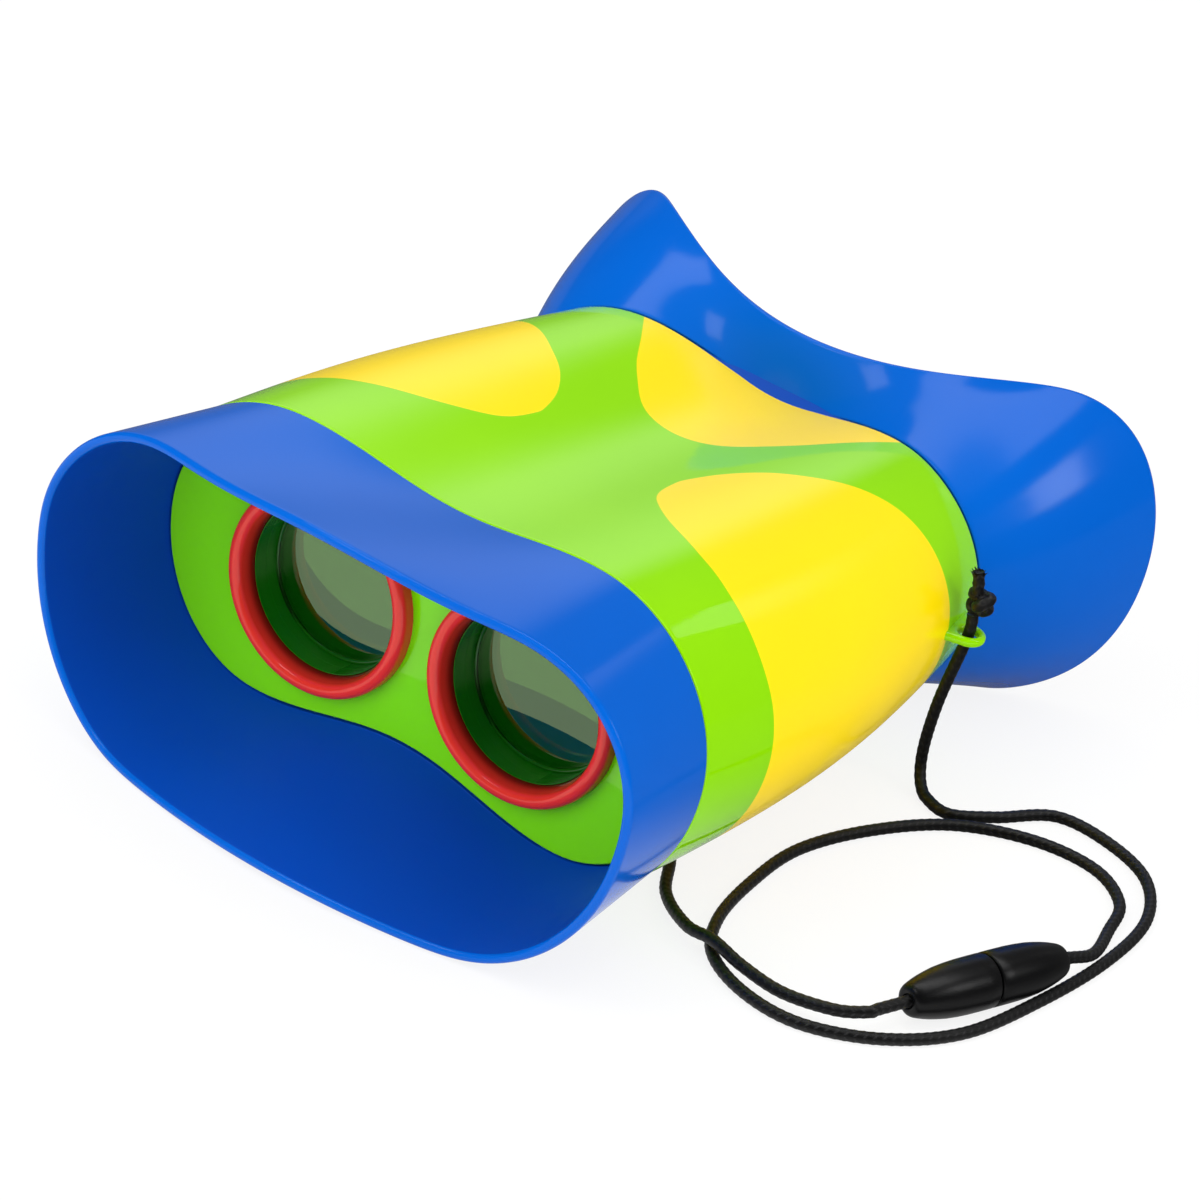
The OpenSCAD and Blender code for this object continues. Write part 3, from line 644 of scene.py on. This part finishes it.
def frayed(name, tip, lean):
    """Loose fibres that spread from the cut end of the cord."""
    chance = np.random.default_rng(FRAY_SEED)
    points, faces = [], []
    corners = len(FIBRE_CORNERS)
    for _ in range(FIBRES):
        turn, part = chance.uniform(0, 2 * math.pi), math.sqrt(chance.uniform(0, 1))
        outwards = np.array([math.cos(turn), math.sin(turn), 0])
        root = tip + part * FRAY_RADIUS * outwards - lean * FRAY_ROOT
        length = chance.uniform(FIBRE_SHORTEST, FIBRE_LONGEST)
        spread = part * FRAY_SPREAD * outwards + chance.normal(0, FIBRE_CURL, 3)
        first = len(points)
        for k in np.linspace(0, 1, FIBRE_ROWS):
            middle = root + length * (lean * k + spread * k * k)
            for a in FIBRE_CORNERS:
                points.append(middle + (FIBRE_RADIUS - FIBRE_TAPER * k) * np.array([math.cos(a), math.sin(a), 0]))
        faces += [tuple(first + i for i in f) for f in grid_faces(FIBRE_ROWS, corners)]
    return add_mesh(name, points, faces)


def add_clasp():
    """The two halves of the breakaway clasp, closed up end to end: the plug's stem is in the socket's bore."""
    halves = []
    stem = [(AXIS_RADIUS, -STEM_REACH), (STEM_RADIUS - STEM_CHAMFER, -STEM_REACH),
            (STEM_RADIUS, STEM_CHAMFER - STEM_REACH), (STEM_RADIUS, 0)]
    bore = [(AXIS_RADIUS, STEM_BORE_DEPTH), (STEM_BORE, STEM_BORE_DEPTH),
            (STEM_BORE, STEM_BORE_CHAMFER), (STEM_BORE + STEM_BORE_CHAMFER, 0)]
    for node, turn, body, inner in (("clasp_plug", -90, BODY, stem), ("clasp_socket", 90, CLASP_HALF, bore)):
        profile = inner + CLASP_SKIN + CLASP_CORD_HOLE
        piece = turned(node + "_shell", profile, sides=CLASP_SIDES, closed=False, sharp=SHARP_CLASP)
        place = Matrix.Translation(Vector(CLASP_PLACE) * MM)
        place = place @ Matrix.Rotation(CLASP_ANGLE + math.radians(turn), 4, "Z")
        piece.data.transform(place @ Matrix.Translation((0, CLASP_GAP / 2 * MM, 0)))
        halves.append(finish_piece(piece, node, CLASP, body))
    return halves


def add_cord(name, route, lug_x, clasp):
    """A run of neck cord between a strap lug and a half of the clasp, with its knot."""
    path = smooth_path(route)
    piece, length = braided(name + "_braid", path, CORD_RADIUS)
    finish_piece(piece, name, CORD)
    knot_name = "lug_knot_" + ("right" if lug_x > 0 else "left")
    tail = tail_path(lug_x)
    knot = [braided(knot_name + "_loops", knot_path(lug_x), KNOT_STRAND, **KNOT_BRAID)[0],
            braided(knot_name + "_tail", tail, TAIL_STRAND, **KNOT_BRAID)[0],
            frayed(knot_name + "_fray", tail[-1], unit(tail[-1] - tail[-4]))]
    for strand in knot:
        finish_piece(strand, knot_name, CORD)
    [clasp] + knot


# Panels, rings and lenses

def panel(name, level, face, hole):
    """An upright plate with its front at face, outlined at level inside the body, with two lens holes."""
    rim = level_row(level, POCKET + PANEL_GAP)[::2][:, [0, 2]]
    holes = [circle(sign * LENS_SPACING / 2, LENS_HEIGHT, hole) for sign in SIDES.values()]
    upright = Matrix.Translation((0, (face + PANEL_WALL / 2) * MM, 0)) @ Matrix.Rotation(math.pi / 2, 4, "X")
    return plate(name + "_plate", [rim] + holes, PANEL_WALL, upright, PANEL_EDGE)


def objective_ring(side, x):
    """A round lip in front of the panel, which runs into the bore; how deep each point lies in the bore goes to its
    finish as painted shade.
    """
    half = RING_LIP / 2
    neck = RING_SEAT - RING_ROOM
    back = PANEL_FACE + RING_DEPTH
    ring = [(RING_RADIUS, PANEL_FACE)]
    ring += arc((RING_RADIUS - half, PANEL_FACE - RING_HEIGHT + half), half, 0, -180, RING_POINTS)
    ring += [(r, PANEL_FACE + depth) for r, depth in RING_THROAT]
    ring += [(RING_BORE, back), (neck, back), (neck, PANEL_FACE)]
    piece = turned("objective_ring_" + side + "_lip", ring, x, LENS_HEIGHT)
    # How far down the bore each point lies, for the painted shade
    shade = [(PANEL_FACE - THROAT_START < y and r < THROAT_RADIUS)
             * np.clip((y - PANEL_FACE + SHADE_START) / SHADE_LENGTH, 0, 1) for r, y in ring]
    add_values(piece, "bore_painted_shade", np.repeat(shade, TURNED_SIDES))
    return piece


def objective_lens(side, x):
    """Slightly dished in front, with a nearly flat back, both a little tilted."""
    drop = math.sqrt(LENS_CURVE ** 2 - LENS_CROWN ** 2)
    front = [(r, LENS_FRONT + (LENS_CROWN ** 2 - r * r) / (2 * LENS_DISH))
             for r in np.linspace(AXIS_RADIUS, LENS_FACE, LENS_ROWS)]
    edge = [(LENS_RADIUS, LENS_FRONT + LENS_CHAMFER), (LENS_RADIUS, LENS_BACK), (LENS_CROWN, LENS_BACK)]
    back = [(r, LENS_BACK - drop + math.sqrt(LENS_CURVE ** 2 - r * r))
            for r in np.linspace(LENS_CROWN, AXIS_RADIUS, LENS_ROWS)]
    piece = turned("objective_lens_" + side + "_glass", front + edge + back, x, LENS_HEIGHT, closed=False, flip=True)
    for i, point in enumerate(piece.data.vertices):
        tilt = LENS_FRONT_TILT if i < LENS_ROWS * TURNED_SIDES else LENS_BACK_TILT
        point.co.y += tilt[0] * (point.co.x - x * MM) + tilt[1] * (point.co.z - LENS_HEIGHT * MM)
    return piece


def retainer_sleeve(side, x):
    """The thin front end of the retainer, which lines the ring's bore."""
    lining = [(SLEEVE_INNER, SLEEVE_FRONT), (SLEEVE_INNER, SLEEVE_BACK),
              (SLEEVE_OUTER, SLEEVE_BACK), (SLEEVE_OUTER, SLEEVE_FRONT)]
    return turned("lens_retainer_" + side + "_sleeve", lining, x, LENS_HEIGHT)


def retainer_bead(side, x):
    """The glossy round edge that presses on the lens."""
    round_bead = arc(BEAD_MIDDLE, BEAD_RADIUS, 0, BEAD_TURN, BEAD_POINTS)
    return turned("lens_retainer_" + side + "_bead", round_bead, x, LENS_HEIGHT)


def eyepiece_ring(side, x):
    """A domed lip behind the rear panel, with a neck through it."""
    middle, half = (EYE_RING_BORE + EYE_RING_RADIUS) / 2, (EYE_RING_RADIUS - EYE_RING_BORE) / 2
    front = REAR_FACE - RING_ROOM
    dome = [(middle - half * math.cos(a), REAR_BACK + EYE_RING_STEP + EYE_RING_RISE * math.sin(a))
            for a in np.linspace(0, math.pi, RING_POINTS)]
    neck = [(EYE_RING_RADIUS, REAR_BACK), (EYE_RING_NECK, REAR_BACK), (EYE_RING_NECK, front), (EYE_RING_BORE, front)]
    return turned("eyepiece_ring_" + side + "_lip", dome + neck, x, LENS_HEIGHT)


# Materials

class Value:
    """A shader socket that can be used in sums."""

    def __init__(self, nodes, socket):
        self.nodes = nodes
        self.socket = socket

    def maths(self, operation, first, second):
        return self.nodes.node("ShaderNodeMath", {"operation": operation}, {0: first, 1: second})

    def __add__(self, other):
        return self.maths("ADD", self, other)

    def __sub__(self, other):
        return self.maths("SUBTRACT", self, other)

    def __rsub__(self, other):
        return self.maths("SUBTRACT", other, self)

    def __mul__(self, other):
        return self.maths("MULTIPLY", self, other)

    __radd__ = __add__
    __rmul__ = __mul__


class Nodes:
    """A node tree that expressions add to."""

    def __init__(self, tree, output):
        self.tree = tree
        tree.nodes.clear()
        self.output = self.make(output)

    def feed(self, socket, value):
        if isinstance(value, Value):
            self.tree.links.new(value.socket, socket)
        else:
            socket.default_value = value

    def show(self, surface):
        self.feed(self.output.inputs["Surface"], surface)

    def make(self, kind, settings=None, sockets=None):
        """Adds a node: its settings first, then the values and links of its sockets."""
        made = self.tree.nodes.new(kind)
        for name, value in (settings or {}).items():
            setattr(made, name, value)
        for key, value in (sockets or {}).items():
            self.feed(made.inputs[key], value)
        return made

    def node(self, kind, settings=None, sockets=None, output=0):
        """One output of a new node."""
        return Value(self, self.make(kind, settings, sockets).outputs[output])

    def place(self):
        """The point on the object, in its own metres."""
        return self.node("ShaderNodeTexCoord", output="Object")

    def noise(self, scale, detail):
        return self.node("ShaderNodeTexNoise", None, {"Vector": self.place(), "Scale": scale, "Detail": detail})

    def attribute(self, name):
        return self.node("ShaderNodeAttribute", {"attribute_name": name}, output="Fac")

    def mix(self, factor, first, second):
        return self.node("ShaderNodeMix", {"data_type": "RGBA"}, {0: factor, 6: first, 7: second}, 2)

    def step(self, value, low, high):
        """Runs smoothly from 0 to 1 as a value goes from low to high."""
        return self.node("ShaderNodeMapRange", {"interpolation_type": "SMOOTHSTEP"}, {0: value, 1: low, 2: high})

    def parts(self, vector):
        """The X, Y and Z of a vector."""
        return [self.node("ShaderNodeSeparateXYZ", None, {0: vector}, axis) for axis in range(3)]

    def ray(self, kind):
        """1 for rays of a kind, and 0 for others."""
        return self.node("ShaderNodeLightPath", output="Is " + kind + " Ray")

    def blend(self, factor, first, second):
        return self.node("ShaderNodeMixShader", None, {0: factor, 1: first, 2: second})


class Finish(Nodes):
    """A material with one Principled shader."""

    def __init__(self, name, **settings):
        self.material = bpy.data.materials.new(name)
        self.material.use_nodes = True
        super().__init__(self.material.node_tree, "ShaderNodeOutputMaterial")
        self.shader = self.make("ShaderNodeBsdfPrincipled")
        self.surface = Value(self, self.shader.outputs[0])
        self.show(self.surface)
        for socket, value in settings.items():
            self.set(socket.replace("_", " "), value)

    def set(self, socket, value):
        self.feed(self.shader.inputs[socket], value)

    def bump(self, height, distance, strength):
        self.set("Normal", self.node("ShaderNodeBump", None,
                                     {"Height": height, "Distance": distance, "Strength": strength}))

    def clouds(self):
        """Slow, uneven changes over a moulding."""
        return self.noise(14, 3)

    def tone(self):
        """The same changes made clearer, from 0 to 1."""
        return self.step(self.clouds(), 0.3, 0.7)

    def flow(self):
        """Faint flow marks in a moulding's gloss."""
        return self.noise(60, 3)

    def skin(self):
        """The very fine unevenness of a moulding."""
        return self.noise(420, 3)


def rgb(red, green, blue):
    """A colour given as a screen shows it, from 0 to 255."""
    def linear(v):
        v /= 255
        return v / 12.92 if v <= 0.04045 else ((v + 0.055) / 1.055) ** 2.4
    return (linear(red), linear(green), linear(blue), 1)


LIME = rgb(142, 216, 2)
DEEP_LIME = rgb(136, 211, 0)
WHITE = 1, 1, 1, 1


def moulded(name, colour, deep, roughness, **settings):
    """Glossy moulded plastic: slow changes of tone, faint flow marks and a very fine skin."""
    finish = Finish(name, IOR=1.5, **settings)
    finish.set("Base Color", finish.mix(finish.tone(), colour, deep))
    finish.set("Roughness", (finish.flow() * 0.4 + 0.8) * roughness)
    finish.bump(finish.skin(), distance=0.00002, strength=0.35)
    return finish


def red_plastic():
    """Red plastic, darkened down the objective ring's bore by painted shade."""
    bright, dull, deep = rgb(240, 56, 44), rgb(232, 48, 38), rgb(94, 9, 4)
    finish = moulded("ring_red", bright, dull, 0.12)
    tone = finish.mix(finish.clouds(), bright, dull)
    # Painted shade: the wall turns deep red the further down the bore it lies
    finish.set("Base Color", finish.mix(finish.step(finish.attribute("bore_painted_shade"), 0, 1), tone, deep))
    return finish


def body_plastic():
    """Lime green plastic with sprayed yellow blocks, which are less glossy and stand a hair proud."""
    finish = Finish("body_green_and_yellow", IOR=1.5, Specular_IOR_Level=0.36)
    yellow = finish.step(finish.attribute("colour_block"), -0.15, 0.15)
    tone = finish.tone()
    green_tone = finish.mix(tone, LIME, DEEP_LIME)
    yellow_tone = finish.mix(tone, rgb(255, 224, 0), rgb(254, 219, 0))
    finish.set("Base Color", finish.mix(yellow, green_tone, yellow_tone))
    finish.set("Roughness", finish.flow() * 0.02 + 0.03 + yellow * 0.16)
    finish.bump(finish.skin() * 0.4 + yellow, distance=0.00003, strength=0.4)
    return finish


def screw_steel():
    """Plain zinc-plated steel."""
    finish = Finish("screw_steel", Metallic=1.0)
    grain = finish.noise(900, 2)
    finish.set("Base Color", finish.mix(grain, rgb(150, 150, 154), rgb(190, 190, 194)))
    finish.set("Roughness", grain * 0.2 + 0.25)
    return finish


def cord_braid():
    """Black braided yarn: painted shade darkens the gaps between the strands, so their tops read lighter."""
    finish = Finish("cord_black", IOR=1.45, Sheen_Weight=0.04, Sheen_Roughness=0.4)
    fibre = finish.noise(2400, 2)
    yarn = finish.mix(fibre, rgb(14, 14, 15), rgb(46, 46, 48))
    # Painted shade: near black between the strands, the yarn's colour on their tops
    top = finish.step(finish.attribute("braid_height"), 0.6, 1.0)
    finish.set("Base Color", finish.mix(top, rgb(2, 2, 2), yarn))
    finish.set("Roughness", fibre * 0.25 + 0.4)
    finish.bump(fibre, distance=0.00006, strength=0.6)
    return finish


def clasp_black():
    """Satin black moulding with a fine spark texture."""
    finish = Finish("clasp_black", IOR=1.5, Specular_IOR_Level=0.3)
    spark = finish.noise(1800, 2)
    finish.set("Base Color", finish.mix(spark, rgb(4, 4, 5), rgb(7, 7, 8)))
    finish.set("Roughness", spark * 0.1 + 0.3)
    finish.bump(spark, distance=0.00003, strength=0.5)
    return finish


BLUE = moulded("hood_blue", rgb(0, 93, 196), rgb(0, 89, 191), 0.14, Specular_IOR_Level=0.17)
# The hoods' inner walls are finely etched, so they take no sharp reflections; their darker blue is painted shade
BLUE_INSIDE_SHADED = moulded("hood_blue_inside_shaded", rgb(0, 71, 178), rgb(0, 67, 172), 0.5, Specular_IOR_Level=0.12)
RED = red_plastic()
GREEN = moulded("shell_green", LIME, DEEP_LIME, 0.025)
PANEL_GREEN = moulded("panel_green", rgb(130, 236, 0), rgb(124, 230, 0), 0.03, Specular_IOR_Level=0.45)
BODY_GREEN = body_plastic()
LENS = Finish("lens_clear", Base_Color=rgb(176, 240, 150), Specular_Tint=rgb(224, 255, 190), Roughness=0.0, IOR=1.9,
              Transmission_Weight=1.0, Coat_Weight=0.7, Coat_Roughness=0.0)
# Painted shade and painted light: a dark green for the inside, and a faint green glow that lights the barrels as no
# lamp does
BARREL_SHADE_AND_GLOW = moulded("barrel_green_painted_glow", rgb(14, 104, 8), rgb(10, 94, 6), 0.3,
                 Emission_Color=rgb(0, 120, 0), Emission_Strength=0.13)
# The retainer's and bead's darker greens are painted shade for the lens seats deep in the hood
BEAD = moulded("bead_green_shaded", rgb(20, 96, 10), rgb(16, 88, 8), 0.04)
RETAINER = moulded("retainer_green_shaded", rgb(18, 124, 10), rgb(14, 114, 8), 0.25)
STEEL = screw_steel()
CORD = cord_braid()
CLASP = clasp_black()


# Pieces

add_camera()
plug, socket = add_clasp()
add_cord("strap_cord_right", RIGHT_ROUTE, LUG_X, plug)
add_cord("strap_cord_left", LEFT_ROUTE, -LUG_X, socket)

front_hood = hood("front_hood_shell", FRONT_SEAM - SEAM_GAP, FRONT_RIM, NO_SWELL, PANEL_FACE)
finish_piece(front_hood, "front_hood", (BLUE, BLUE_INSIDE_SHADED))
eye_hood = hood("eye_hood_shell", REAR_SEAM + EYE_SEAM_GAPS * SEAM_GAP, EYE_RIM, EYE_SWELL, REAR_BACK)
finish_piece(eye_hood, "eye_hood", (BLUE, BLUE_INSIDE_SHADED))
finish_piece(body_piece(), "body_shell", BODY_GREEN)
for side, sign in SIDES.items():
    finish_piece(strap_lug(side, sign), "body_shell", GREEN)
for node, level, face, hole in (("front_panel", PANEL_FACE, PANEL_FACE, RING_SEAT),
                                ("rear_panel", REAR_BACK, REAR_FACE, EYEPIECE_SEAT)):
    finish_piece(panel(node, level, face, hole), node, PANEL_GREEN)
for side, sign in SIDES.items():
    x = sign * LENS_SPACING / 2
    finish_piece(objective_ring(side, x), "objective_ring_" + side, RED)
    finish_piece(objective_lens(side, x), "objective_lens_" + side, LENS)
    finish_piece(eyepiece_ring(side, x), "eyepiece_ring_" + side, RED)
    dress("lens_retainer_" + side, RETAINER)
    finish_piece(retainer_sleeve(side, x), None, RETAINER)
    finish_piece(retainer_bead(side, x), None, BEAD)
    dress("barrel_" + side, BARREL_SHADE_AND_GLOW)
    dress("eyepiece_lens_" + side, LENS)
for place in ("top", "bottom", "left", "right"):
    dress("panel_screw_" + place, STEEL, SCREW_EDGE)


# Studio, in metres

FLOOR_HALF = 6
FLOOR_WHITE = 0.85
FLOOR_PALE = 0.95, 0.95, 0.95, 1
MIRROR_FRONT = -0.09
MIRROR_REAR = 0.02
MIRROR_DIM = 0.15, 0.15, 0.15, 1
ROOM = 0.75
ROOM_DARK = 0.02
ROOM_PALE = 0.75
ROOM_BEHIND = 0.14
PALE_LEFT = 0.27, 0.45
PALE_UP = -0.05, 0.4
PALE_BACK = 0.4, 0.7
BEHIND = 0.55, 0.85
WASH_PLACE = 0.36, -0.12, 0.9
WASH_POWER = 22
WASH_ANGLE = 34
WASH_BLEND = 0.7
WASH_SIZE = 0.1


def add_floor():
    """A plain pale floor.

    Seen directly it is white and keeps a part of its shadows; in the gloss it dims to the rear.
    """
    finish = Finish("studio_floor", Base_Color=FLOOR_PALE, Roughness=0.9, Specular_IOR_Level=0.0)
    along = finish.parts(finish.place())[1]
    mirrored = finish.mix(finish.step(along, MIRROR_FRONT, MIRROR_REAR), WHITE, MIRROR_DIM)
    surface = finish.surface
    for kind, share, colour in (("Camera", FLOOR_WHITE, WHITE), ("Transmission", FLOOR_WHITE, WHITE),
                                ("Glossy", 1.0, mirrored)):
        glow = finish.node("ShaderNodeEmission", None, {"Color": colour})
        surface = finish.blend(finish.ray(kind) * share, surface, glow)
    finish.show(surface)
    corners = [(x * FLOOR_HALF, y * FLOOR_HALF, 0) for x, y in ((-1, -1), (1, -1), (1, 1), (-1, 1))]
    mesh = bpy.data.meshes.new("studio_floor")
    mesh.from_pydata(corners, [], [(0, 1, 2, 3)])
    floor = bpy.data.objects.new("studio_floor", mesh)
    floor.data.materials.append(finish.material)
    bpy.context.scene.collection.objects.link(floor)


def add_softbox(name, place, width, height, level, glossy=True, diffuse=True):
    """A softbox that faces the object; its level is how bright its face looks, with white at 1."""
    lamp = bpy.data.lights.new(name, "AREA")
    lamp.shape = "RECTANGLE"
    lamp.size = width
    lamp.size_y = height
    lamp.energy = level * math.pi * width * height
    box = bpy.data.objects.new(name, lamp)
    box.location = place
    box.visible_glossy = glossy
    box.visible_diffuse = diffuse
    box.rotation_euler = (-Vector(place)).to_track_quat("-Z", "Y").to_euler()
    bpy.context.scene.collection.objects.link(box)


def add_floor_wash():
    """Lights the floor beside the object, which then lights its lower side."""
    lamp = bpy.data.lights.new("floor_wash", "SPOT")
    lamp.energy = WASH_POWER
    lamp.spot_size = math.radians(WASH_ANGLE)
    lamp.spot_blend = WASH_BLEND
    lamp.shadow_soft_size = WASH_SIZE
    wash = bpy.data.objects.new("floor_wash", lamp)
    wash.location = WASH_PLACE
    wash.visible_glossy = False
    bpy.context.scene.collection.objects.link(wash)


def add_world():
    """A white room. In the gloss it is dark, a little lighter behind the object and pale up to the left there."""
    world = bpy.data.worlds.new("studio_world")
    world.use_nodes = True
    bpy.context.scene.world = world
    room = Nodes(world.node_tree, "ShaderNodeOutputWorld")
    x, y, z = room.parts(room.node("ShaderNodeTexCoord", output="Generated"))
    pale = room.step(0 - x, *PALE_LEFT) * room.step(z, *PALE_UP) * room.step(y, *PALE_BACK)
    behind = room.step(y, *BEHIND)
    level = pale * ROOM_PALE + behind * ROOM_BEHIND + ROOM_DARK
    white = room.node("ShaderNodeBackground", None, {"Color": WHITE, "Strength": ROOM})
    dim = room.node("ShaderNodeBackground", None, {"Color": WHITE, "Strength": level})
    room.show(room.blend(room.ray("Glossy"), white, dim))


add_floor()
add_softbox("top_softbox", (-0.15, -0.36, 1.2), width=1.9, height=1.5, level=0.85, glossy=False)
add_softbox("top_sheen", (-0.02, 0.23, 1.2), width=1.5, height=0.42, level=3.4, diffuse=False)
add_softbox("right_softbox", (1.29, 0.33, 0.88), width=0.3, height=0.46, level=7)
add_softbox("front_softbox", (-0.43, -0.86, 1.28), width=0.45, height=0.45, level=4)
add_softbox("rear_softbox", (0.37, 1.47, 0.97), width=0.3, height=0.14, level=1.0)
add_softbox("front_fill", (-0.25, -0.95, 0.5), width=0.9, height=0.7, level=1.5, glossy=False)
add_softbox("right_fill", (1.1, -0.45, 0.22), width=0.8, height=0.4, level=1.4, glossy=False)
add_floor_wash()
add_world()
bpy.context.scene.view_settings.view_transform = "Standard"
